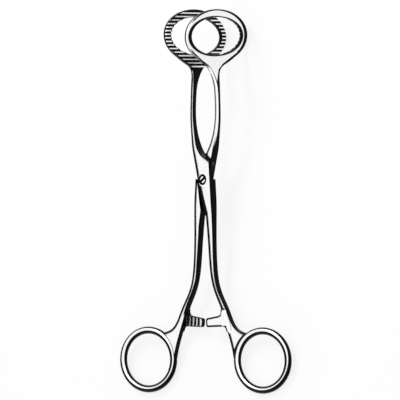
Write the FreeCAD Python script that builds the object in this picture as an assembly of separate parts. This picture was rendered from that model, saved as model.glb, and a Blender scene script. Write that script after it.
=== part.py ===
# Gallbladder forceps: two crossed halves with ring jaws, a lap joint held by a
# slotted screw, and a ratchet between the finger rings.
# Millimetres. X is the way the jaws open, Y runs from the finger rings to the
# jaws, and Z is the axis of the joint. The origin is at the middle of the joint.
# One half is built closed, and a half turn about Y makes the other.
import FreeCAD
import Part
import math
import os

from FreeCAD import Vector

os.makedirs("parts", exist_ok=True)

# Motion
rest_opening = 10.0          # angle between the halves as stored, half open
widest_opening = 35.0        # angle at which the shoulders stop the halves
half_gap = 0.05              # from the middle plane to a face that closes on it

# Ring jaws
jaw_thickness = 2.2
jaw_ring_width = 42.6
jaw_ring_height = 26.6
jaw_window_width = 35.0
jaw_window_height = 18.8
jaw_ring_y = 71.4
neck_start_angle = 46.0      # how far round, below the ring's middle, the neck leaves it
serration_pitch = 1.77
serration_width = 1.2
serration_depth = 0.45
serration_count = 17
serration_start_y = 55.3

# Shanks, lap joint and handles
joint_half_thickness = 2.2
shank_half_thickness = 1.25
handle_half_thickness = 1.6
handle_end_half_thickness = 1.45
edge_chamfer = 0.5
top_shoulder_distance = 10.2
top_shoulder_angle = 56.0
side_shoulder_distance = 3.6
side_shoulder_angle = 193.0
shoulder_gap = 0.12
lap_inner_x = 3.9            # from the pivot to the lap's edge above the side shoulder
lap_outer_x = 5.3            # and to its other edge
shank_top_y = 16.0           # where the lap turns into the shank
shank_bow = 7.2              # how far the shank bows out
shank_width = 2.6
handle_outer_x = 3.6         # the outer edge where the handle is slimmest
handle_end_width = 4.4
handle_lean = 16.7           # of the handle at the ratchet, from the length

# Pivot screw
screw_head_radius = 2.7
screw_head_depth = 1.0
screw_shank_radius = 1.55
screw_clearance = 0.05
screw_recess = 0.1
screw_edge = 0.3
slot_width = 0.8
slot_depth = 0.6
slot_angle = 42.0

# Finger rings
finger_ring_x = 32.0
finger_ring_y = -92.4
finger_ring_half_width = 17.6
finger_ring_half_height = 14.6
finger_ring_radius = 1.8
finger_ring_tilt = -5.0
bar_flat_angle = 70.0       # how far round the bar's section runs before its flat

# Ratchet
arm_middle_y = -70.8
arm_root_x = 7.9
arm_tip_x = -3.8
arm_base_height = 5.8
arm_tip_height = 4.4
arm_tip_round = 1.2
arm_root_round = 2.2
arm_top_z = 2.0
tooth_pitch = 2.4
tooth_depth = 0.6
tooth_count = 5

reach = 60.0                 # longer than any cut has to be


def rotated(shape, degrees):
    copy = shape.copy()
    copy.rotate(Vector(0, 0, 0), Vector(0, 0, 1), degrees)
    return copy


def turned_over(shape):
    copy = shape.copy()
    copy.rotate(Vector(0, 0, 0), Vector(0, 1, 0), 180.0)
    return copy


def plan_curve(points):
    curve = Part.BSplineCurve()
    curve.interpolate([Vector(x, y, 0) for x, y in points])
    return curve.toShape()


def plan_line(start, end):
    return Part.makeLine(Vector(start[0], start[1], 0), Vector(end[0], end[1], 0))


def plan_face(edges):
    return Part.Face(Part.Wire(Part.__sortEdges__(edges)))


def between(start, end, share):
    return start + share * (end - start)


def ellipse_wire(half_x, half_y):
    curve = Part.Ellipse(Vector(0, 0, 0), max(half_x, half_y), min(half_x, half_y)).toShape()
    if half_y > half_x:
        curve.rotate(Vector(0, 0, 0), Vector(0, 0, 1), 90.0)
    return Part.Wire([curve])


def ellipse_face(half_x, half_y):
    return Part.Face(ellipse_wire(half_x, half_y))


def beyond_line(distance, angle, low_z, high_z):
    # Everything further from the pivot than a line square to the angle.
    block = Part.makeBox(reach, 2 * reach, high_z - low_z, Vector(distance, -reach, low_z))
    return rotated(block, angle)


def line_point(distance, angle, x):
    # The point at x of a line square to the angle, at this distance from the pivot.
    turn = math.radians(angle)
    return (x, (distance - x * math.cos(turn)) / math.sin(turn))


def top_shoulder_point(x):
    return line_point(top_shoulder_distance, top_shoulder_angle, x)


def side_shoulder_point(x):
    return line_point(side_shoulder_distance, side_shoulder_angle, x)


def jaw_ring_bottom():
    return jaw_ring_y - jaw_ring_height / 2


def handle_inner_x(y):
    return arm_root_x + (arm_middle_y - y) * math.tan(math.radians(handle_lean))


def finger_ring_point(angle, offset):
    # On the ring's bar, offset outwards from its middle line.
    turn = math.radians(angle)
    tilt = math.radians(finger_ring_tilt)
    along = (finger_ring_half_width + offset) * math.cos(turn)
    up = (finger_ring_half_height + offset) * math.sin(turn)
    return (finger_ring_x + along * math.cos(tilt) - up * math.sin(tilt),
            finger_ring_y + along * math.sin(tilt) + up * math.cos(tilt))


def finger_ring_corner():
    # The ring's side towards the handle, and its top.
    return finger_ring_x - finger_ring_half_width, finger_ring_y + finger_ring_half_height


def outer_shank():
    jaw_back = -half_gap - jaw_thickness
    bend_y = jaw_ring_bottom() - 0.6
    return [
        (jaw_back, bend_y),
        (jaw_back - 0.1, bend_y - 1.5),
        (jaw_back - 0.8, bend_y - 4.5),
        (-shank_bow + 2.6, between(shank_top_y, bend_y, 0.79)),
        (-shank_bow + 1.1, between(shank_top_y, bend_y, 0.60)),
        (-shank_bow, between(shank_top_y, bend_y, 0.34)),
        (-shank_bow + 0.2, between(shank_top_y, bend_y, 0.16)),
        (-lap_inner_x - 2.3, shank_top_y),
        (-lap_inner_x - 1.2, between(0.0, shank_top_y, 0.56)),
        side_shoulder_point(-lap_inner_x),
    ]


def inner_shank():
    bend_y = jaw_ring_bottom() - 0.6
    bow = -shank_bow + shank_width
    return [
        top_shoulder_point(-half_gap),
        (bow + 3.1, shank_top_y - 1.8),
        (bow + 1.6, shank_top_y + 1.6),
        (bow + 0.5, between(shank_top_y, bend_y, 0.17)),
        (bow, between(shank_top_y, bend_y, 0.34)),
        (bow + 1.0, between(shank_top_y, bend_y, 0.60)),
        (bow + 2.5, between(shank_top_y, bend_y, 0.79)),
        (-half_gap - 0.7, bend_y - 4.3),
        (-half_gap - 0.08, bend_y - 1.5),
        (-half_gap, bend_y),
    ]


def inner_handle():
    fork = side_shoulder_point(half_gap)
    ratchet = arm_middle_y
    ring_side, ring_top = finger_ring_corner()
    return [
        fork,
        (half_gap + 0.02, fork[1] - 7.0),
        (half_gap + 0.05, between(fork[1], ratchet, 0.30)),
        (half_gap + 0.2, between(fork[1], ratchet, 0.51)),
        (half_gap + 1.0, ratchet + 19.8),
        (half_gap + 3.0, ratchet + 13.2),
        (handle_inner_x(ratchet + 6.8), ratchet + 6.8),
        (handle_inner_x(ratchet), ratchet),
        (handle_inner_x(ratchet - 5.2), ratchet - 5.2),
        (ring_side - 3.4, ring_top - 3.2),
        (ring_side - 2.1, ring_top - 8.7),
        finger_ring_point(177.0, finger_ring_radius),
    ]


def outer_handle():
    ratchet = arm_middle_y
    ring_side, ring_top = finger_ring_corner()
    return [
        finger_ring_point(122.0, 0.6),
        (ring_side + 5.4, ring_top + 0.4),
        (ring_side + 2.3, ring_top + 1.8),
        (ring_side - 0.6, ring_top + 4.7),
        (handle_inner_x(ratchet + 1.4) + handle_end_width, ratchet + 1.4),
        (handle_inner_x(ratchet + 6.1) + handle_end_width - 0.6, ratchet + 6.1),
        (handle_outer_x + 3.0, ratchet + 12.4),
        (handle_outer_x + 0.7, ratchet + 18.8),
        (handle_outer_x, ratchet + 25.8),
        (handle_outer_x + 0.3, between(0.0, ratchet, 0.48)),
        (handle_outer_x + 0.9, between(0.0, ratchet, 0.35)),
        (lap_outer_x - 0.3, between(0.0, ratchet, 0.23)),
        (lap_outer_x - 0.1, between(0.0, ratchet, 0.11)),
        (lap_outer_x, 0.0),
        top_shoulder_point(lap_outer_x + 0.1),
    ]


def plan_runs(points):
    return [plan_line(start, end) for start, end in zip(points, points[1:])]


def limb_plan():
    jaw_back = -half_gap - jaw_thickness
    jaw_top = jaw_ring_y + jaw_ring_height
    bend_y = jaw_ring_bottom() - 0.6
    in_ring = [finger_ring_point(177.0, finger_ring_radius), finger_ring_point(172.0, 0.0),
               finger_ring_point(150.0, 0.0), finger_ring_point(122.0, 0.6)]
    jaw = [(-half_gap, bend_y), (-half_gap, jaw_top), (jaw_back, jaw_top), (jaw_back, bend_y)]
    lap_corner = top_shoulder_point(lap_outer_x + 0.1)
    edges = [
        plan_curve(outer_shank()),
        plan_line(side_shoulder_point(-lap_inner_x), side_shoulder_point(half_gap)),
        plan_curve(inner_handle()),
        plan_curve(outer_handle()),
        plan_line(lap_corner, top_shoulder_point(-half_gap)),
        plan_curve(inner_shank()),
    ]
    return plan_face(edges + plan_runs(in_ring) + plan_runs(jaw))


def standing(face):
    # A face drawn as (half thickness, length) is stood up across X.
    copy = face.copy()
    copy.rotate(Vector(0, 0, 0), Vector(0, 1, 0), -90.0)
    copy.translate(Vector(-reach, 0, 0))
    return copy.extrude(Vector(2 * reach, 0, 0))


def jaw_ring_point(angle, offset):
    # On the ring jaw's outline, as (half thickness, length), below its middle.
    turn = math.radians(angle)
    return ((jaw_ring_width / 2 + offset) * math.cos(turn),
            jaw_ring_y - (jaw_ring_height / 2 + offset) * math.sin(turn))


def neck_edge():
    bottom = jaw_ring_bottom()
    return [
        jaw_ring_point(neck_start_angle, 0.0),
        jaw_ring_point(neck_start_angle + 2.0, 0.0),
        jaw_ring_point(neck_start_angle + 13.0, 0.5),
        jaw_ring_point(neck_start_angle + 23.0, 1.2),
        (shank_half_thickness + 3.6, bottom - 2.1),
        (shank_half_thickness + 2.05, bottom - 4.0),
        (shank_half_thickness + 1.15, bottom - 6.2),
        (shank_half_thickness + 0.4, bottom - 9.5),
    ]


def shank_edge():
    bottom = jaw_ring_bottom()
    return [
        (shank_half_thickness, between(shank_top_y, bottom, 0.64)),
        (shank_half_thickness, between(shank_top_y, bottom, 0.38)),
        (shank_half_thickness + 0.25, shank_top_y + 7.0),
        (joint_half_thickness - 0.25, shank_top_y + 2.5),
        (joint_half_thickness, shank_top_y - 0.8),
        (joint_half_thickness, shank_top_y - 1.8),
    ]


def handle_edge():
    fork_y = side_shoulder_point(half_gap)[1]
    end = finger_ring_y - finger_ring_radius
    return [
        (joint_half_thickness, fork_y + 7.2),
        (joint_half_thickness, fork_y + 6.2),
        (joint_half_thickness - 0.3, fork_y - 1.8),
        (handle_half_thickness, fork_y - 11.8),
        (handle_half_thickness, arm_middle_y + 20.8),
        (handle_end_half_thickness, arm_middle_y + 4.8),
        (handle_end_half_thickness, end),
    ]


def mirrored(points):
    return [(-z, y) for z, y in points]


def side_solid():
    upper = neck_edge() + shank_edge()
    lower = handle_edge()
    ring = Part.Ellipse(Vector(0, jaw_ring_y, 0), jaw_ring_width / 2, jaw_ring_height / 2)
    turn = math.radians(neck_start_angle)
    over = Part.ArcOfEllipse(ring, -turn, math.pi + turn).toShape()
    side = plan_face([
        over,
        plan_curve(upper),
        plan_line(upper[-1], lower[0]),
        plan_curve(lower),
        plan_line(lower[-1], mirrored(lower)[-1]),
        plan_curve(mirrored(lower)),
        plan_line(mirrored(upper)[-1], mirrored(lower)[0]),
        plan_curve(mirrored(upper)),
    ])
    return standing(side)


def jaw_window():
    window = ellipse_face(jaw_window_width / 2, jaw_window_height / 2)
    window.translate(Vector(0, jaw_ring_y, 0))
    return standing(window)


def limb():
    plan = limb_plan().extrude(Vector(0, 0, 2 * reach))
    plan.translate(Vector(0, 0, -reach))
    return plan.common(side_solid()).cut(jaw_window())


def serration(y):
    half = serration_width / 2
    profile = Part.makePolygon([
        Vector(-half_gap + 0.01, y - half, -reach),
        Vector(-half_gap + 0.01, y + half, -reach),
        Vector(-half_gap - serration_depth, y, -reach),
        Vector(-half_gap + 0.01, y - half, -reach),
    ])
    return Part.Face(profile).extrude(Vector(0, 0, 2 * reach))


def serrations():
    return [serration(serration_start_y + serration_pitch * i) for i in range(serration_count)]


def lap_recess():
    # Where the other half passes below the middle plane.
    top = half_gap / 2
    low = -reach
    shoulder = beyond_line(top_shoulder_distance + shoulder_gap, 180.0 - top_shoulder_angle, low, top)
    swing = widest_opening
    closed_side = 180.0 - side_shoulder_angle
    side = beyond_line(side_shoulder_distance + shoulder_gap, closed_side, low, top)
    open_side = beyond_line(side_shoulder_distance + shoulder_gap, closed_side - swing, low, top)
    bottom = side_shoulder_point(half_gap)[1] - 1.0
    high = shank_top_y - 2.5
    room = Part.makeBox(2 * reach, high - bottom, top - low, Vector(-reach, bottom, low))
    return room.cut(shoulder).cut(side.common(open_side))


def eased_limb():
    # Every long outside edge is eased. The clamping face of the jaw, the lap's
    # side shoulder and the end hidden in the finger ring stay sharp.
    body = limb()
    jaw_back = -half_gap - jaw_thickness
    lap_start = side_shoulder_point(-lap_inner_x)
    lap_end = side_shoulder_point(half_gap)
    edges = []
    for edge in body.Edges:
        box = edge.BoundBox
        on_back = abs(box.XMin - jaw_back) < 0.01 and abs(box.XMax - jaw_back) < 0.01
        on_one_side = box.ZMin > 0.1 or box.ZMax < -0.1
        across = box.YLength < 0.01
        clamping = box.XMin > -half_gap - 0.01 and box.YMin > jaw_ring_bottom() - 1.0
        hidden = box.YMax < finger_ring_y + finger_ring_half_height + 0.5
        on_lap = lap_end[1] - 0.1 < box.YMin and box.YMax < lap_start[1] + 0.1
        shoulder = on_lap and box.XMax < lap_end[0] + 0.01
        sharp = across or clamping or hidden or shoulder
        if (on_back or on_one_side) and not sharp:
            edges.append(edge)
    return body.makeChamfer(edge_chamfer, edges).Solids[0]


def ring_skin(side):
    # The outer (1) or inner (-1) half of the round bar, as ellipses one above the other.
    wires = []
    for step in range(-3, 4):
        angle = math.radians(bar_flat_angle) * step / 3
        offset = side * finger_ring_radius * math.cos(angle)
        wire = ellipse_wire(finger_ring_half_width + offset, finger_ring_half_height + offset)
        wire.translate(Vector(0, 0, finger_ring_radius * math.sin(angle)))
        wires.append(wire)
    return Part.makeLoft(wires, True, True)


def finger_ring():
    ring = rotated(ring_skin(1).cut(ring_skin(-1)), finger_ring_tilt)
    ring.translate(Vector(finger_ring_x, finger_ring_y, 0))
    return ring


def arm_plan():
    # The arm and its root, which lies just inside the handle.
    base = arm_base_height / 2
    tip = arm_tip_height / 2
    root_top = arm_middle_y + base + arm_root_round + 0.6
    root_bottom = arm_middle_y - base - arm_root_round - 0.6
    inset = 0.5
    corners = [
        (arm_tip_x, arm_middle_y - tip),
        (handle_inner_x(arm_middle_y - base) + inset, arm_middle_y - base),
        (handle_inner_x(root_bottom) + inset, root_bottom),
        (handle_inner_x(root_bottom) + inset + 1.4, root_bottom),
        (handle_inner_x(root_top) + inset + 1.4, root_top),
        (handle_inner_x(root_top) + inset, root_top),
        (handle_inner_x(arm_middle_y + base) + inset, arm_middle_y + base),
        (arm_tip_x, arm_middle_y + tip),
    ]
    return plan_face(plan_runs(corners + corners[:1]))


def upright_edges(shape, low_x, high_x):
    return [e for e in shape.Edges if e.BoundBox.ZLength > 1.0
            and low_x < e.BoundBox.Center.x < high_x]


def ratchet_arm():
    face = arm_plan()
    face.translate(Vector(0, 0, half_gap))
    arm = face.extrude(Vector(0, 0, arm_top_z - half_gap))
    base = arm_base_height / 2
    corners = [e for e in upright_edges(arm, 0.0, reach)
               if abs(abs(e.BoundBox.Center.y - arm_middle_y) - base) < 0.01]
    arm = arm.makeFillet(arm_root_round, corners)
    arm = arm.makeFillet(arm_tip_round, upright_edges(arm, -reach, 0.0))
    return arm.cut(Part.makeCompound(tooth_spaces()))


def tooth_spaces():
    # The steep side of each tooth faces the handle, so that it holds when pulled.
    spaces = []
    for i in range(tooth_count):
        start = arm_tip_x + 0.5 + i * tooth_pitch
        corners = [
            Vector(start, -reach * 2, half_gap - 0.02),
            Vector(start + tooth_pitch, -reach * 2, half_gap - 0.02),
            Vector(start + tooth_pitch, -reach * 2, half_gap + tooth_depth),
            Vector(start, -reach * 2, half_gap - 0.02),
        ]
        spaces.append(Part.Face(Part.makePolygon(corners)).extrude(Vector(0, reach * 4, 0)))
    return spaces


def forged_half():
    body = eased_limb().cut(lap_recess()).cut(Part.makeCompound(serrations()))
    return body.fuse([finger_ring(), ratchet_arm()])


def round_bar(radius, low_z, high_z):
    return Part.makeCylinder(radius, high_z - low_z, Vector(0, 0, low_z))


def screw_side_half():
    hole = round_bar(screw_shank_radius + screw_clearance, -reach, reach)
    seat = round_bar(
        screw_head_radius + screw_clearance,
        joint_half_thickness - screw_recess - screw_head_depth - screw_clearance,
        reach,
    )
    return forged_half().cut(hole).cut(seat)


def threaded_half():
    hole = round_bar(screw_shank_radius, -reach, reach)
    return turned_over(forged_half()).cut(hole)


def pivot_screw():
    head_top = joint_half_thickness - screw_recess
    head = round_bar(screw_head_radius, head_top - screw_head_depth, head_top)
    rim = [e for e in head.Edges if e.BoundBox.ZMin > head_top - 0.01]
    head = head.makeChamfer(screw_edge, rim)
    shank = round_bar(screw_shank_radius, screw_recess - joint_half_thickness, head_top - 0.5)
    slot = Part.makeBox(
        4 * screw_head_radius, slot_width, slot_depth + 1.0,
        Vector(-2 * screw_head_radius, -slot_width / 2, head_top - slot_depth),
    )
    return head.fuse(shank).cut(rotated(slot, slot_angle))


def save(name, shape):
    solid = shape.Solids[0] if len(shape.Solids) == 1 else shape
    print(name, solid.isValid(), len(shape.Solids), round(solid.Volume, 1))
    solid.exportStep("parts/" + name + ".step")


save("screw_side_half", rotated(screw_side_half(), rest_opening / 2))
save("threaded_half", rotated(threaded_half(), -rest_opening / 2))
save("pivot_screw", rotated(pivot_screw(), -rest_opening / 2))
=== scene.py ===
import math

import bpy
from mathutils import Matrix, Vector


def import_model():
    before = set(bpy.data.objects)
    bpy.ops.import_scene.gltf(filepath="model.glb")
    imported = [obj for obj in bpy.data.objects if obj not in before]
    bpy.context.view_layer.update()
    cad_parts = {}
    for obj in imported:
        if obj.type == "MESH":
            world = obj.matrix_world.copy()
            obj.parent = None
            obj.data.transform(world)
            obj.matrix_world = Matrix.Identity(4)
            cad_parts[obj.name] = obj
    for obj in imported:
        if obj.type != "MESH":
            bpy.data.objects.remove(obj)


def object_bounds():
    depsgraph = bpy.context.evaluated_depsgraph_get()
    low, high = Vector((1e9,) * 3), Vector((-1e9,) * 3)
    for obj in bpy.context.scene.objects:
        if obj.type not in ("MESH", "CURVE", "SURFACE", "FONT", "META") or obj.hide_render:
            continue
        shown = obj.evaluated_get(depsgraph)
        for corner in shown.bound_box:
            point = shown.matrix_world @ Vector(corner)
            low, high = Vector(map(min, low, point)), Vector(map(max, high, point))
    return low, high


# Metres. Every place is given on the closed half that holds the screw's head, whose
# jaw lies towards -X and whose handle lies towards +X. A pair of values names the two
# ends of a change, such as the heights between which a painted shade line thins out.

# The photograph: its size and scale, the pixel that shows the frame's origin, how far
# round from the front it is seen, and a lens long enough to show no perspective
PHOTO_PIXELS = 400
METRES_PER_PIXEL = 0.190 / 384
ORIGIN_PIXEL = (205.5, 179.6)
CAMERA_TURN = math.radians(45.0)
CAMERA_LENS = 1500.0
CAMERA_SENSOR = 36.0

# The halves: how far each is turned about the joint at rest, in degrees, which way
# along X its jaw faces outwards, how wide its handle's inner edge is painted as shade,
# how much finer its other painted shade edges are, and how far its arm is painted as
# shade from an edge
HALVES = {
    "screw_side_half": {"lean": 5.0, "outward": -1.0, "shade": 0.0017, "finer": 0.0, "arm_reach": 0.0013},
    "threaded_half": {"lean": -5.0, "outward": 1.0, "shade": 0.0010, "finer": 0.08, "arm_reach": 0.0007},
}

# How nearly a surface has to face a direction to keep the light colour; faces turned
# further away are painted shade
FACING = (0.88, 0.96)
FRONT_FACING = (0.80, 0.90)
BACK_FACING = (0.84, 0.92)
BEVEL_FACING = (0.92, 0.96)

# The painted shade lines along the edges: the side that they lie on, how far they
# reach into the limbs and into the thinner necks, the shares of inward rays staying in
# the metal at which they end, how much finer they get along the shank, and where its
# front ends
DIAGONAL = 0.707
SHADE_SIDE = (DIAGONAL, 0.0, -DIAGONAL)
LIMB_REACH = 0.0022
NECK_REACH = 0.0016
NECK_STARTS = (0.0500, 0.0540)
EDGE_SHARES = (0.86, 0.95)
EDGE_SAMPLES = 16
SHANK_STARTS = (0.0100, 0.0250)
SHANK_FINER = 0.16
SHANK_ENDS = (0.0570, 0.0590)

# The painted shade band along the handle's inner edge, and where this edge bends outwards
SHADE_STARTS = (-0.0165, -0.0150)
SHADE_WIDENS = (-0.0150, -0.0230)
SHADE_ENDS = (-0.0660, -0.0690)
SHADE_FADE = (0.0, 0.0003)
BEND_LEVELS = (-0.0470, -0.0725)
BEND_REACH = 0.0078

# The ratchet arm's free part, the outline and the foot of its raised root, and the
# height of the handle's face beside it
ARM_ENDS = (0.0073, 0.0078)
ARM_TOP = (-0.0670, -0.0665)
ARM_BOTTOM = (-0.0735, -0.0731)
ROOT_SIDE = (0.0066, 0.0074)
ROOT_SIDE_LEVELS = (-0.0675, -0.0657)
ROOT_FADE = (0.0, 0.0005)
ROOT_BOTTOM = (-0.0780, -0.0770)
ROOT_TOP = (-0.0656, -0.0651)
ROOT_FOOT = (0.00148, 0.00152)
ROOT_SLOPE = 0.3025
ROOT_NEAR = (-0.0124, -0.0120)
ROOT_FAR = (-0.0102, -0.0098)
HANDLE_FACE = (0.00120, 0.00125)

# The ring jaw: the height of its middle, the half width and half height of its outline
# and window, and how wide the painted shade bands along both are on its back and on its
# grip
JAW_MIDDLE = 0.0714
JAW_OUTLINE = (0.0213, 0.0133)
JAW_WINDOW = (0.0175, 0.0094)
BACK_BANDS = {"inner": 0.055, "outer": 0.035, "lopsided": 0.09}
GRIP_BANDS = {"inner": 0.02, "outer": 0.0, "lopsided": 0.0}
BAND_FADE = 0.02

# Where the back of the jaw starts, aslant on the neck and whole above it
BACK_SLANT = 2.3
BACK_STARTS = (0.0495, 0.0510)
BACK_WHOLE = (0.0545, 0.0560)

# How the neck's back widens from the shank to the ring, as heights and the half widths
# there, and how wide the painted shade line along its side is
NECK_SIDE = ((0.0450, 0.0008), (0.0500, 0.0013), (0.0547, 0.0030), (0.0576, 0.0064), (0.0636, 0.0164))
NECK_LINE_LEVELS = (0.0520, 0.0580)
NECK_LINE_WIDTHS = (0.0003, 0.0016)
NECK_LINE_FADE = (0.0, 0.0004)
NECK_ENDS = (0.0630, 0.0650)

# The serrations of the jaw's grip, whose grooves are painted dark as shade, how much
# of each pitch is a land, and where the grip starts
SERRATION_START = 0.0553
SERRATION_PITCH = 0.00177
SERRATION_LAND = (0.16, 0.22)
GRIP_STARTS = (0.0550, 0.0557)

# The jaw's rims: where they start, and, for the rim painted light and the rim with
# painted bars of shade, the way of facing, side of the middle, and depth from the grip
RIM_STARTS = (0.0522, 0.0532)
BRIGHT_RIM_FACING = (-0.6, -0.3)
BRIGHT_RIM_SIDE = (-0.002, 0.0)
BRIGHT_RIM_DEPTH = (0.0012, 0.0015)
BARRED_RIM_FACING = (0.3, 0.6)
BARRED_RIM_SIDE = (0.0, 0.002)
BARRED_RIM_DEPTH = (0.00065, 0.00095)

# The finger ring's middle, the half width and half height of its outline, its tilt,
# its bar's radius, and how far from the bar's middle line its painted shade and
# highlight end
RING_MIDDLE = (0.0320, -0.0924, 0.0)
RING_OUTLINE = (0.0194, 0.0164)
RING_TILT = math.radians(5.0)
RING_BAR = 0.0018
RING_BAR_ENDS = (0.0018, 0.0020)

# The way that the painted highlight line of the finger rings faces, how sharp the line
# is, and the side of the rings on which it is finer
BAR_LIGHT = Vector((0.535, 0.20, 0.82)).normalized()
BAR_LINE = (0.925, 0.975)
BAR_SHADE = Vector((0.8, -0.6, 0.0))
BAR_FINER = 0.03

# The screw: the turn and the lips of its slot, the heights of the slot's floor and of
# the face, the face's rim, and its seat in the half; the slot, the rim and the sides
# are painted as shade
SCREW = "pivot_screw"
SLOT_TURN = math.radians(37.0)
SLOT_SIDE = (-math.sin(SLOT_TURN), math.cos(SLOT_TURN), 0.0)
SLOT_LIPS = (0.00060, 0.00075)
SLOT_HEIGHTS = (0.00155, 0.00195)
SCREW_RIM = (0.0015, 0.0017)
SCREW_SEAT = (0.0041, 0.0043)
SEAT_MIDDLE = (0.0015, 0.0, 0.0)
SEAT_FACE = (0.0, 0.0001)

# The steel: its light colours, the dark colour that is painted shade, where the dark
# ends and the light starts, the scale and detail of its clouds and of its grain, which
# runs along the instrument, and how both show
PAINTED_SHADE_STEEL = (0.004, 0.0042, 0.005)
HALF_STEEL = (0.93, 0.935, 0.94)
SCREW_STEEL = (0.90, 0.905, 0.91)
DARK_ENDS = 0.35
LIGHT_STARTS = 0.75
CLOUDS = (90.0, 4.0)
GRAIN = (2600.0, 3.0)
GRAIN_STRETCH = (1.0, 0.05, 1.0)
UNEVENNESS = 0.10
GRAIN_SPAN = (0.3, 0.7)
ROUGHNESS = (0.26, 0.42)
BUMP_STRENGTH = 0.06
BUMP_DISTANCE = 0.00004

# The studio: the floor's half size and its gap under the part, how far out the part's
# two ends start, which rest on it, how often its slope is found anew, its colour and
# how white it is seen, the world's light, and the lamps' place, diameter and power
FLOOR_SIZE = 3.0
FLOOR_GAP = 0.00002
END_STARTS = 0.05
SLOPE_ROUNDS = 4
FLOOR_COLOUR = (0.9, 0.9, 0.9, 1.0)
FLOOR_WHITE = 0.8
WHITE = (1.0, 1.0, 1.0, 1.0)
WORLD_LIGHT = 0.85
LAMPS = {"key": ((-0.25, 0.75, 0.65), 0.35, 3.0), "fill": ((0.7, 0.5, 0.5), 0.6, 1.0)}


def load_frame():
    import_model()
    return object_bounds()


class Nodes:
    """A small helper that adds and links shader nodes of one material or world."""

    def __init__(self, tree):
        self.tree = tree
        self.tree.nodes.clear()

    def add(self, kind, **values):
        node = self.tree.nodes.new(kind)
        for name, value in values.items():
            setattr(node, name, value)
        return node

    def link(self, source, target):
        self.tree.links.new(source, target)

    def math(self, operation, first, second=0.0, clamp=False):
        node = self.add("ShaderNodeMath", operation=operation, use_clamp=clamp)
        for socket, value in zip(node.inputs, (first, second)):
            if isinstance(value, (int, float)):
                socket.default_value = value
            else:
                self.link(value, socket)
        return node.outputs[0]

    def vector(self, operation, first, second=(0.0, 0.0, 0.0)):
        node = self.add("ShaderNodeVectorMath", operation=operation)
        for socket, value in zip(node.inputs, (first, second)):
            if isinstance(value, tuple):
                socket.default_value = value
            else:
                self.link(value, socket)
        return node.outputs["Value"] if operation in ("LENGTH", "DOT_PRODUCT") else node.outputs["Vector"]

    def split(self, vector):
        node = self.add("ShaderNodeSeparateXYZ")
        self.link(vector, node.inputs[0])
        return node.outputs

    def product(self, *values):
        result = values[0]
        for value in values[1:]:
            result = self.math("MULTIPLY", result, value)
        return result

    def largest(self, *values):
        result = values[0]
        for value in values[1:]:
            result = self.math("MAXIMUM", result, value)
        return result

    def spread(self, value, from_low, from_high, to_low, to_high, kind="LINEAR"):
        node = self.add("ShaderNodeMapRange", interpolation_type=kind)
        ends = {"From Min": from_low, "From Max": from_high, "To Min": to_low, "To Max": to_high}
        for name, end in ends.items():
            node.inputs[name].default_value = end
        self.link(value, node.inputs["Value"])
        return node.outputs["Result"]

    def rise(self, value, ends):
        return self.spread(value, *ends, 0.0, 1.0)

    def fall(self, value, ends):
        return self.spread(value, *ends, 1.0, 0.0)

    def ramp(self, factor, stops):
        node = self.add("ShaderNodeValToRGB")
        elements = node.color_ramp.elements
        while len(elements) < len(stops):
            elements.new(0.5)
        for element, (position, colour) in zip(elements, stops):
            element.position = position
            element.color = (*colour, 1.0)
        self.link(factor, node.inputs["Fac"])
        return node.outputs["Color"]

    def noise(self, vector, scale, detail, stretch=(1.0, 1.0, 1.0)):
        mapping = self.add("ShaderNodeMapping")
        mapping.inputs["Scale"].default_value = stretch
        self.link(vector, mapping.inputs["Vector"])
        node = self.add("ShaderNodeTexNoise")
        node.inputs["Scale"].default_value = scale
        node.inputs["Detail"].default_value = detail
        self.link(mapping.outputs["Vector"], node.inputs["Vector"])
        return node.outputs["Fac"]


class Half:
    """Where a point of a half lies, and how it faces, as on the closed half."""

    def __init__(self, nodes, looks):
        self.nodes = nodes
        self.looks = looks
        self.lean = math.radians(looks["lean"])
        self.turn = (-looks["outward"], 1.0, -looks["outward"])
        coordinates = nodes.add("ShaderNodeTexCoord")
        self.object = coordinates.outputs["Object"]
        self.place = self.closed(self.object)
        self.x, self.y, self.z = nodes.split(self.place)
        self.nx, _, self.nz = nodes.split(self.closed(coordinates.outputs["Normal"]))

    def closed(self, vector):
        node = self.nodes.add("ShaderNodeVectorRotate", rotation_type="Z_AXIS")
        node.inputs["Angle"].default_value = -self.lean
        self.nodes.link(vector, node.inputs["Vector"])
        return self.nodes.vector("MULTIPLY", node.outputs["Vector"], self.turn)

    def above(self, ends):
        return self.nodes.rise(self.y, ends)

    def below(self, ends):
        return self.nodes.fall(self.y, ends)

    def ellipse(self, sizes):
        # 1 on this ellipse about the jaw's middle, less inside it
        level = self.nodes.math("SUBTRACT", self.y, JAW_MIDDLE)
        joined = self.nodes.add("ShaderNodeCombineXYZ")
        self.nodes.link(self.z, joined.inputs["X"])
        self.nodes.link(level, joined.inputs["Y"])
        share = self.nodes.vector("DIVIDE", joined.outputs[0], (*sizes, 1.0))
        return self.nodes.vector("LENGTH", share)


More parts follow.
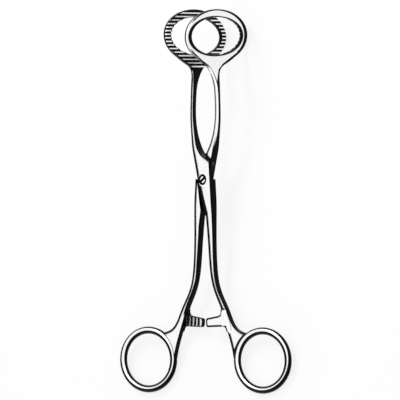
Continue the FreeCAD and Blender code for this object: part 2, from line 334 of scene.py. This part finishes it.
def shaded_edges(half):
    # Painted shade: 0 along the edges on the shaded side, or along all edges of the arm, 1 elsewhere
    nodes = half.nodes
    arm = nodes.product(nodes.fall(half.x, ARM_ENDS), half.below(ARM_TOP))
    aside = nodes.add("ShaderNodeCombineXYZ")
    for axis, share in zip("XYZ", SHADE_SIDE):
        nodes.link(nodes.spread(arm, 0.0, 1.0, share, 0.0), aside.inputs[axis])
    surface = nodes.add("ShaderNodeNewGeometry")
    normal = nodes.vector("ADD", surface.outputs["Normal"], aside.outputs[0])
    inside = nodes.add("ShaderNodeAmbientOcclusion", inside=True, only_local=True, samples=EDGE_SAMPLES)
    nodes.link(nodes.vector("NORMALIZE", normal), inside.inputs["Normal"])
    reach = nodes.math("MINIMUM", nodes.spread(arm, 0.0, 1.0, LIMB_REACH, half.looks["arm_reach"]),
                       nodes.spread(half.y, *NECK_STARTS, LIMB_REACH, NECK_REACH))
    nodes.link(reach, inside.inputs["Distance"])
    finer = half.looks["finer"]
    finer = nodes.spread(half.y, *SHANK_STARTS, finer, finer + SHANK_FINER)
    return nodes.rise(nodes.math("ADD", inside.outputs["AO"], finer), EDGE_SHARES)


def away_from_seat(half, edges):
    # The screw's seat, in the side that carries the head, has no painted shade line along its own edge.
    nodes = half.nodes
    beside = nodes.vector("SUBTRACT", half.place, SEAT_MIDDLE)
    flat = nodes.vector("MULTIPLY", beside, (1.0, 1.0, 0.0))
    near = nodes.fall(nodes.vector("LENGTH", flat), SCREW_SEAT)
    return nodes.largest(edges, nodes.product(near, nodes.rise(half.z, SEAT_FACE)))


def handle_shade(half):
    # Painted shade: 0 along the handle's inner edge, which bends outwards towards the ratchet
    nodes = half.nodes
    bend = nodes.spread(half.y, *BEND_LEVELS, 0.0, BEND_REACH, "SMOOTHSTEP")
    width = nodes.spread(half.y, *SHADE_WIDENS, 0.0, half.looks["shade"])
    over = nodes.math("SUBTRACT", nodes.math("SUBTRACT", half.x, bend), width)
    beyond = nodes.largest(half.above(SHADE_STARTS), half.above(SHADE_ENDS))
    return nodes.largest(nodes.rise(over, SHADE_FADE), beyond)


def shank_bevel(half):
    # The bevel between the shank's back and its front, painted light
    nodes = half.nodes
    towards = nodes.math("MULTIPLY", nodes.math("ADD", half.nx, half.nz), -DIAGONAL)
    return nodes.product(nodes.rise(towards, BEVEL_FACING), half.above(SHANK_STARTS))


def limb_face(half, edges):
    # The broad faces keep the light colour and the shank's bevel is painted light; the limbs' other faces,
    # the lines along the edges and the handle's band are painted shade.
    nodes = half.nodes
    broad = nodes.rise(nodes.math("ABSOLUTE", half.nz), FRONT_FACING)
    front = nodes.product(broad, edges, handle_shade(half))
    return nodes.product(nodes.largest(front, shank_bevel(half)), half.below(SHANK_ENDS))


def arm_root(half):
    # The arm's root stands a little above the handle, and is painted light on its far side,
    # and just past it, as on top.
    nodes = half.nodes
    raised = nodes.rise(nodes.math("ABSOLUTE", half.z), ROOT_FOOT)
    across = nodes.math("ADD", half.x, nodes.math("MULTIPLY", half.y, ROOT_SLOPE))
    past = nodes.product(nodes.rise(half.z, HANDLE_FACE), nodes.fall(across, ROOT_FAR))
    beside = nodes.math("SUBTRACT", half.x, nodes.spread(half.y, *ROOT_SIDE_LEVELS, *ROOT_SIDE))
    over = nodes.largest(half.above(ARM_BOTTOM), nodes.rise(across, ROOT_NEAR))
    within = nodes.product(nodes.rise(beside, ROOT_FADE), over, half.above(ROOT_BOTTOM), half.below(ROOT_TOP))
    return nodes.product(within, nodes.largest(raised, past))


def jaw_bands(half, inner, outer, lopsided):
    # 0 on the painted shade bands along the ring jaw's window and outline
    nodes = half.nodes
    window = nodes.math("ADD", half.ellipse(JAW_WINDOW),
                        nodes.math("MULTIPLY", half.z, lopsided / JAW_WINDOW[0]))
    outline = nodes.math("ADD", half.ellipse(JAW_OUTLINE),
                         nodes.math("MULTIPLY", half.z, lopsided / JAW_OUTLINE[0]))
    off_window = nodes.rise(window, (1.0 + inner, 1.0 + inner + BAND_FADE))
    on_ring = nodes.fall(outline, (1.0 - outer - BAND_FADE, 1.0 - outer))
    return nodes.product(off_window, nodes.largest(on_ring, half.below(NECK_ENDS)))


def neck_side(half):
    # How far in from the painted shade line along the widening side of the neck
    nodes = half.nodes
    width = NECK_SIDE[0][1]
    for (low, narrow), (high, wide) in zip(NECK_SIDE, NECK_SIDE[1:]):
        width = nodes.math("ADD", width, nodes.spread(half.y, low, high, 0.0, wide - narrow))
    line = nodes.spread(half.y, *NECK_LINE_LEVELS, *NECK_LINE_WIDTHS)
    return nodes.math("SUBTRACT", nodes.math("SUBTRACT", width, line), half.z)


def jaw_back(half, edges):
    # The back runs on down the neck, and narrows there towards the shank's front.
    # It keeps the light colour but for its painted shade lines and bands; its sides are painted shade.
    nodes = half.nodes
    aslant = nodes.math("SUBTRACT", half.y, nodes.math("MULTIPLY", half.z, BACK_SLANT))
    starts = nodes.largest(nodes.rise(aslant, BACK_STARTS), half.above(BACK_WHOLE))
    facing = nodes.rise(nodes.math("MULTIPLY", half.nx, -1.0), BACK_FACING)
    lines = nodes.product(edges, nodes.rise(neck_side(half), NECK_LINE_FADE))
    lines = nodes.largest(lines, half.above(NECK_ENDS))
    return nodes.product(facing, starts, lines, jaw_bands(half, **BACK_BANDS))


def serration_bars(half):
    # 1 on the lands between the serrations, 0 in the grooves, which are painted as shade
    nodes = half.nodes
    along = nodes.math("DIVIDE", nodes.math("SUBTRACT", half.y, SERRATION_START), SERRATION_PITCH)
    across = nodes.math("ABSOLUTE", nodes.math("SUBTRACT", nodes.math("FRACT", along), 0.5))
    return nodes.product(nodes.fall(across, SERRATION_LAND), half.above(GRIP_STARTS))


def jaw_grip(half):
    # The grip keeps the light colour on its lands, with painted shade in the grooves and bands.
    nodes = half.nodes
    return nodes.product(nodes.rise(half.nx, FACING), serration_bars(half), jaw_bands(half, **GRIP_BANDS))


def jaw_rims(half):
    # The rim on the lit side is painted light but for its far edge, and the painted bars of
    # shade run on over the rim on the other side.
    nodes = half.nodes
    depth = nodes.math("MULTIPLY", half.x, -1.0)
    bright = nodes.product(nodes.fall(half.nz, BRIGHT_RIM_FACING), nodes.fall(half.z, BRIGHT_RIM_SIDE),
                           nodes.rise(depth, BRIGHT_RIM_DEPTH), half.above(RIM_STARTS))
    barred = nodes.product(nodes.rise(half.nz, BARRED_RIM_FACING), nodes.rise(half.z, BARRED_RIM_SIDE),
                           nodes.fall(depth, BARRED_RIM_DEPTH), serration_bars(half))
    return nodes.largest(bright, barred)


def root_of_squares(nodes, first, second):
    total = nodes.math("ADD", nodes.product(first, first), nodes.product(second, second))
    return nodes.math("POWER", total, 0.5)


def ring_direction(half, direction):
    # A direction at rest, along the axes of the closed half's finger ring
    closed = Matrix.Rotation(-half.lean, 3, "Z") @ direction
    closed = Vector([a * b for a, b in zip(closed, half.turn)])
    return tuple(Matrix.Rotation(RING_TILT, 3, "Z") @ closed)


def finger_ring(half):
    # On the round bar, 1 along a painted highlight line that runs all the way round
    nodes = half.nodes
    level = nodes.add("ShaderNodeVectorRotate", rotation_type="Z_AXIS")
    level.inputs["Angle"].default_value = RING_TILT
    nodes.link(nodes.vector("SUBTRACT", half.place, RING_MIDDLE), level.inputs["Vector"])
    away = nodes.vector("MULTIPLY", level.outputs["Vector"], (1.0, 1.0, 0.0))
    middle = tuple(size - RING_BAR for size in RING_OUTLINE)
    share = nodes.vector("DIVIDE", away, (*middle, 1.0))
    radial = nodes.vector("NORMALIZE", nodes.vector("DIVIDE", share, (*middle, 1.0)))
    times = nodes.vector("LENGTH", share)
    distance = nodes.vector("LENGTH", away)
    outwards = nodes.math("SUBTRACT", distance, nodes.math("DIVIDE", distance, times))
    light = ring_direction(half, BAR_LIGHT)
    sideways = nodes.vector("DOT_PRODUCT", radial, light)
    facing = nodes.math("ADD", nodes.product(outwards, sideways), nodes.product(half.z, light[2]))
    most = nodes.product(root_of_squares(nodes, outwards, half.z), root_of_squares(nodes, sideways, light[2]))
    aligned = nodes.math("DIVIDE", nodes.math("ABSOLUTE", facing), most)
    finer = nodes.vector("DOT_PRODUCT", radial, ring_direction(half, BAR_SHADE))
    aligned = nodes.math("SUBTRACT", aligned, nodes.math("MULTIPLY", finer, BAR_FINER))
    on_bar = nodes.fall(outwards, RING_BAR_ENDS)
    return on_bar, nodes.product(on_bar, nodes.rise(aligned, BAR_LINE))


def steel_surface(nodes, place, tone, light):
    # Satin steel with painted light and shade: the light colour where the tone is 1 and the painted shade
    # colour where it is 0
    clouds = nodes.noise(place, *CLOUDS)
    grain = nodes.noise(place, *GRAIN, GRAIN_STRETCH)
    uneven = nodes.math("MULTIPLY", nodes.math("ADD", clouds, grain), UNEVENNESS)
    lit = nodes.math("SUBTRACT", tone, uneven, clamp=True)
    colour = nodes.ramp(lit, [(0.0, PAINTED_SHADE_STEEL), (DARK_ENDS, PAINTED_SHADE_STEEL), (LIGHT_STARTS, light)])
    roughness = nodes.spread(grain, *GRAIN_SPAN, *ROUGHNESS)
    bump = nodes.add("ShaderNodeBump")
    bump.inputs["Strength"].default_value = BUMP_STRENGTH
    bump.inputs["Distance"].default_value = BUMP_DISTANCE
    nodes.link(grain, bump.inputs["Height"])
    shader = nodes.add("ShaderNodeBsdfPrincipled")
    shader.inputs["Metallic"].default_value = 1.0
    nodes.link(colour, shader.inputs["Base Color"])
    nodes.link(roughness, shader.inputs["Roughness"])
    nodes.link(bump.outputs["Normal"], shader.inputs["Normal"])
    output = nodes.add("ShaderNodeOutputMaterial")
    nodes.link(shader.outputs["BSDF"], output.inputs["Surface"])


def new_material(name):
    material = bpy.data.materials.new(name)
    material.use_nodes = True
    return material, Nodes(material.node_tree)


def half_material(name, looks):
    material, nodes = new_material(name)
    half = Half(nodes, looks)
    edges = shaded_edges(half)
    limb = limb_face(half, away_from_seat(half, edges))
    faces = nodes.largest(limb, arm_root(half), jaw_back(half, edges), jaw_grip(half), jaw_rims(half))
    # The finger ring's bar is painted shade but for its painted highlight line.
    on_bar, bar = finger_ring(half)
    tone = nodes.largest(bar, nodes.product(nodes.math("SUBTRACT", 1.0, on_bar), faces))
    steel_surface(nodes, half.object, tone, HALF_STEEL)
    return material


def screw_material():
    material, nodes = new_material("screw_steel")
    coordinates = nodes.add("ShaderNodeTexCoord")
    place = coordinates.outputs["Object"]
    across = nodes.math("ABSOLUTE", nodes.split(coordinates.outputs["Normal"])[2])
    height = nodes.math("ABSOLUTE", nodes.split(place)[2])
    radius = nodes.vector("LENGTH", nodes.vector("MULTIPLY", place, (1.0, 1.0, 0.0)))
    aside = nodes.math("ABSOLUTE", nodes.vector("DOT_PRODUCT", place, SLOT_SIDE))
    # The face keeps the light colour; the sides, the rim and the slot are painted shade.
    tone = nodes.product(nodes.rise(across, FACING), nodes.rise(height, SLOT_HEIGHTS),
                         nodes.fall(radius, SCREW_RIM), nodes.rise(aside, SLOT_LIPS))
    steel_surface(nodes, place, tone, SCREW_STEEL)
    return material


def give_material(name, material):
    obj = bpy.data.objects[name]
    obj.data.materials.clear()
    obj.data.materials.append(material)


def dress_nodes():
    for name, looks in HALVES.items():
        give_material(name, half_material("satin_steel_painted_shade_" + name, looks))
    give_material(SCREW, screw_material())


def mixed(nodes, share, first, second):
    mix = nodes.add("ShaderNodeMixShader")
    nodes.link(share, mix.inputs["Fac"])
    nodes.link(first, mix.inputs[1])
    nodes.link(second, mix.inputs[2])
    return mix.outputs["Shader"]


def seen_white(nodes):
    # 1 for the camera and for what metal or glass shows, 0 for light on the part
    path = nodes.add("ShaderNodeLightPath")
    seen = nodes.math("MAXIMUM", path.outputs["Is Camera Ray"], path.outputs["Is Glossy Ray"])
    return nodes.math("MAXIMUM", seen, path.outputs["Is Transmission Ray"])


def floor_material():
    material, nodes = new_material("floor")
    diffuse = nodes.add("ShaderNodeBsdfDiffuse")
    diffuse.inputs["Color"].default_value = FLOOR_COLOUR
    glow = nodes.add("ShaderNodeEmission")
    glow.inputs["Strength"].default_value = 1.0
    share = nodes.math("MULTIPLY", seen_white(nodes), FLOOR_WHITE)
    output = nodes.add("ShaderNodeOutputMaterial")
    surface = mixed(nodes, share, diffuse.outputs["BSDF"], glow.outputs["Emission"])
    nodes.link(surface, output.inputs["Surface"])
    return material


def support_line():
    # The line, across Y and Z, that the ring jaws and the finger rings rest on
    points = []
    for name in HALVES:
        points += [(v.co.y, v.co.z) for v in bpy.data.objects[name].data.vertices]
    slope = 0.0
    for _ in range(SLOPE_ROUNDS):
        foot = {}
        for end in (-1, 1):
            side = [p for p in points if p[0] * end > END_STARTS]
            foot[end] = min(side, key=lambda p: p[1] - slope * p[0])
        slope = (foot[1][1] - foot[-1][1]) / (foot[1][0] - foot[-1][0])
    return slope, foot[1][1] - slope * foot[1][0]


def make_floor():
    slope, height = support_line()
    mesh = bpy.data.meshes.new("floor")
    corners = [(x * FLOOR_SIZE, y * FLOOR_SIZE, slope * y * FLOOR_SIZE + height - FLOOR_GAP)
               for x, y in ((-1, -1), (1, -1), (1, 1), (-1, 1))]
    mesh.from_pydata(corners, [], [(0, 1, 2, 3)])
    mesh.materials.append(floor_material())
    floor = bpy.data.objects.new("floor", mesh)
    bpy.context.scene.collection.objects.link(floor)


def make_world():
    world = bpy.data.worlds.new("world")
    bpy.context.scene.world = world
    world.use_nodes = True
    nodes = Nodes(world.node_tree)
    seen = nodes.add("ShaderNodeBackground")
    seen.inputs["Color"].default_value = WHITE
    light = nodes.add("ShaderNodeBackground")
    light.inputs["Color"].default_value = WHITE
    light.inputs["Strength"].default_value = WORLD_LIGHT
    output = nodes.add("ShaderNodeOutputWorld")
    surface = mixed(nodes, seen_white(nodes), light.outputs["Background"], seen.outputs["Background"])
    nodes.link(surface, output.inputs["Surface"])


def add_lamp(name, place, size, power):
    data = bpy.data.lights.new(name, "AREA")
    data.shape = "DISK"
    data.size = size
    data.energy = power
    lamp = bpy.data.objects.new(name, data)
    bpy.context.scene.collection.objects.link(lamp)
    lamp.location = place
    lamp.rotation_mode = "QUATERNION"
    lamp.rotation_quaternion = (-Vector(place)).to_track_quat("-Z", "Y")


def make_lamps():
    for name, (place, size, power) in LAMPS.items():
        add_lamp(name, place, size, power)


def make_camera():
    sine = math.sin(CAMERA_TURN)
    cosine = math.cos(CAMERA_TURN)
    right = Vector((cosine, 0.0, -sine))
    up = Vector((0.0, 1.0, 0.0))
    back = Vector((sine, 0.0, cosine))
    middle = PHOTO_PIXELS / 2
    centre = right * (middle - ORIGIN_PIXEL[0]) * METRES_PER_PIXEL
    centre -= up * (middle - ORIGIN_PIXEL[1]) * METRES_PER_PIXEL
    data = bpy.data.cameras.new("camera")
    data.lens = CAMERA_LENS
    data.sensor_width = CAMERA_SENSOR
    camera = bpy.data.objects.new("camera", data)
    bpy.context.scene.collection.objects.link(camera)
    turn = Matrix((right, up, back)).transposed().to_4x4()
    distance = PHOTO_PIXELS * METRES_PER_PIXEL * CAMERA_LENS / CAMERA_SENSOR
    camera.matrix_world = Matrix.Translation(centre + back * distance) @ turn
    bpy.context.scene.camera = camera


cad_box = load_frame()
dress_nodes()
make_floor()
make_world()
make_lamps()
make_camera()
bpy.context.scene.view_settings.view_transform = "Standard"
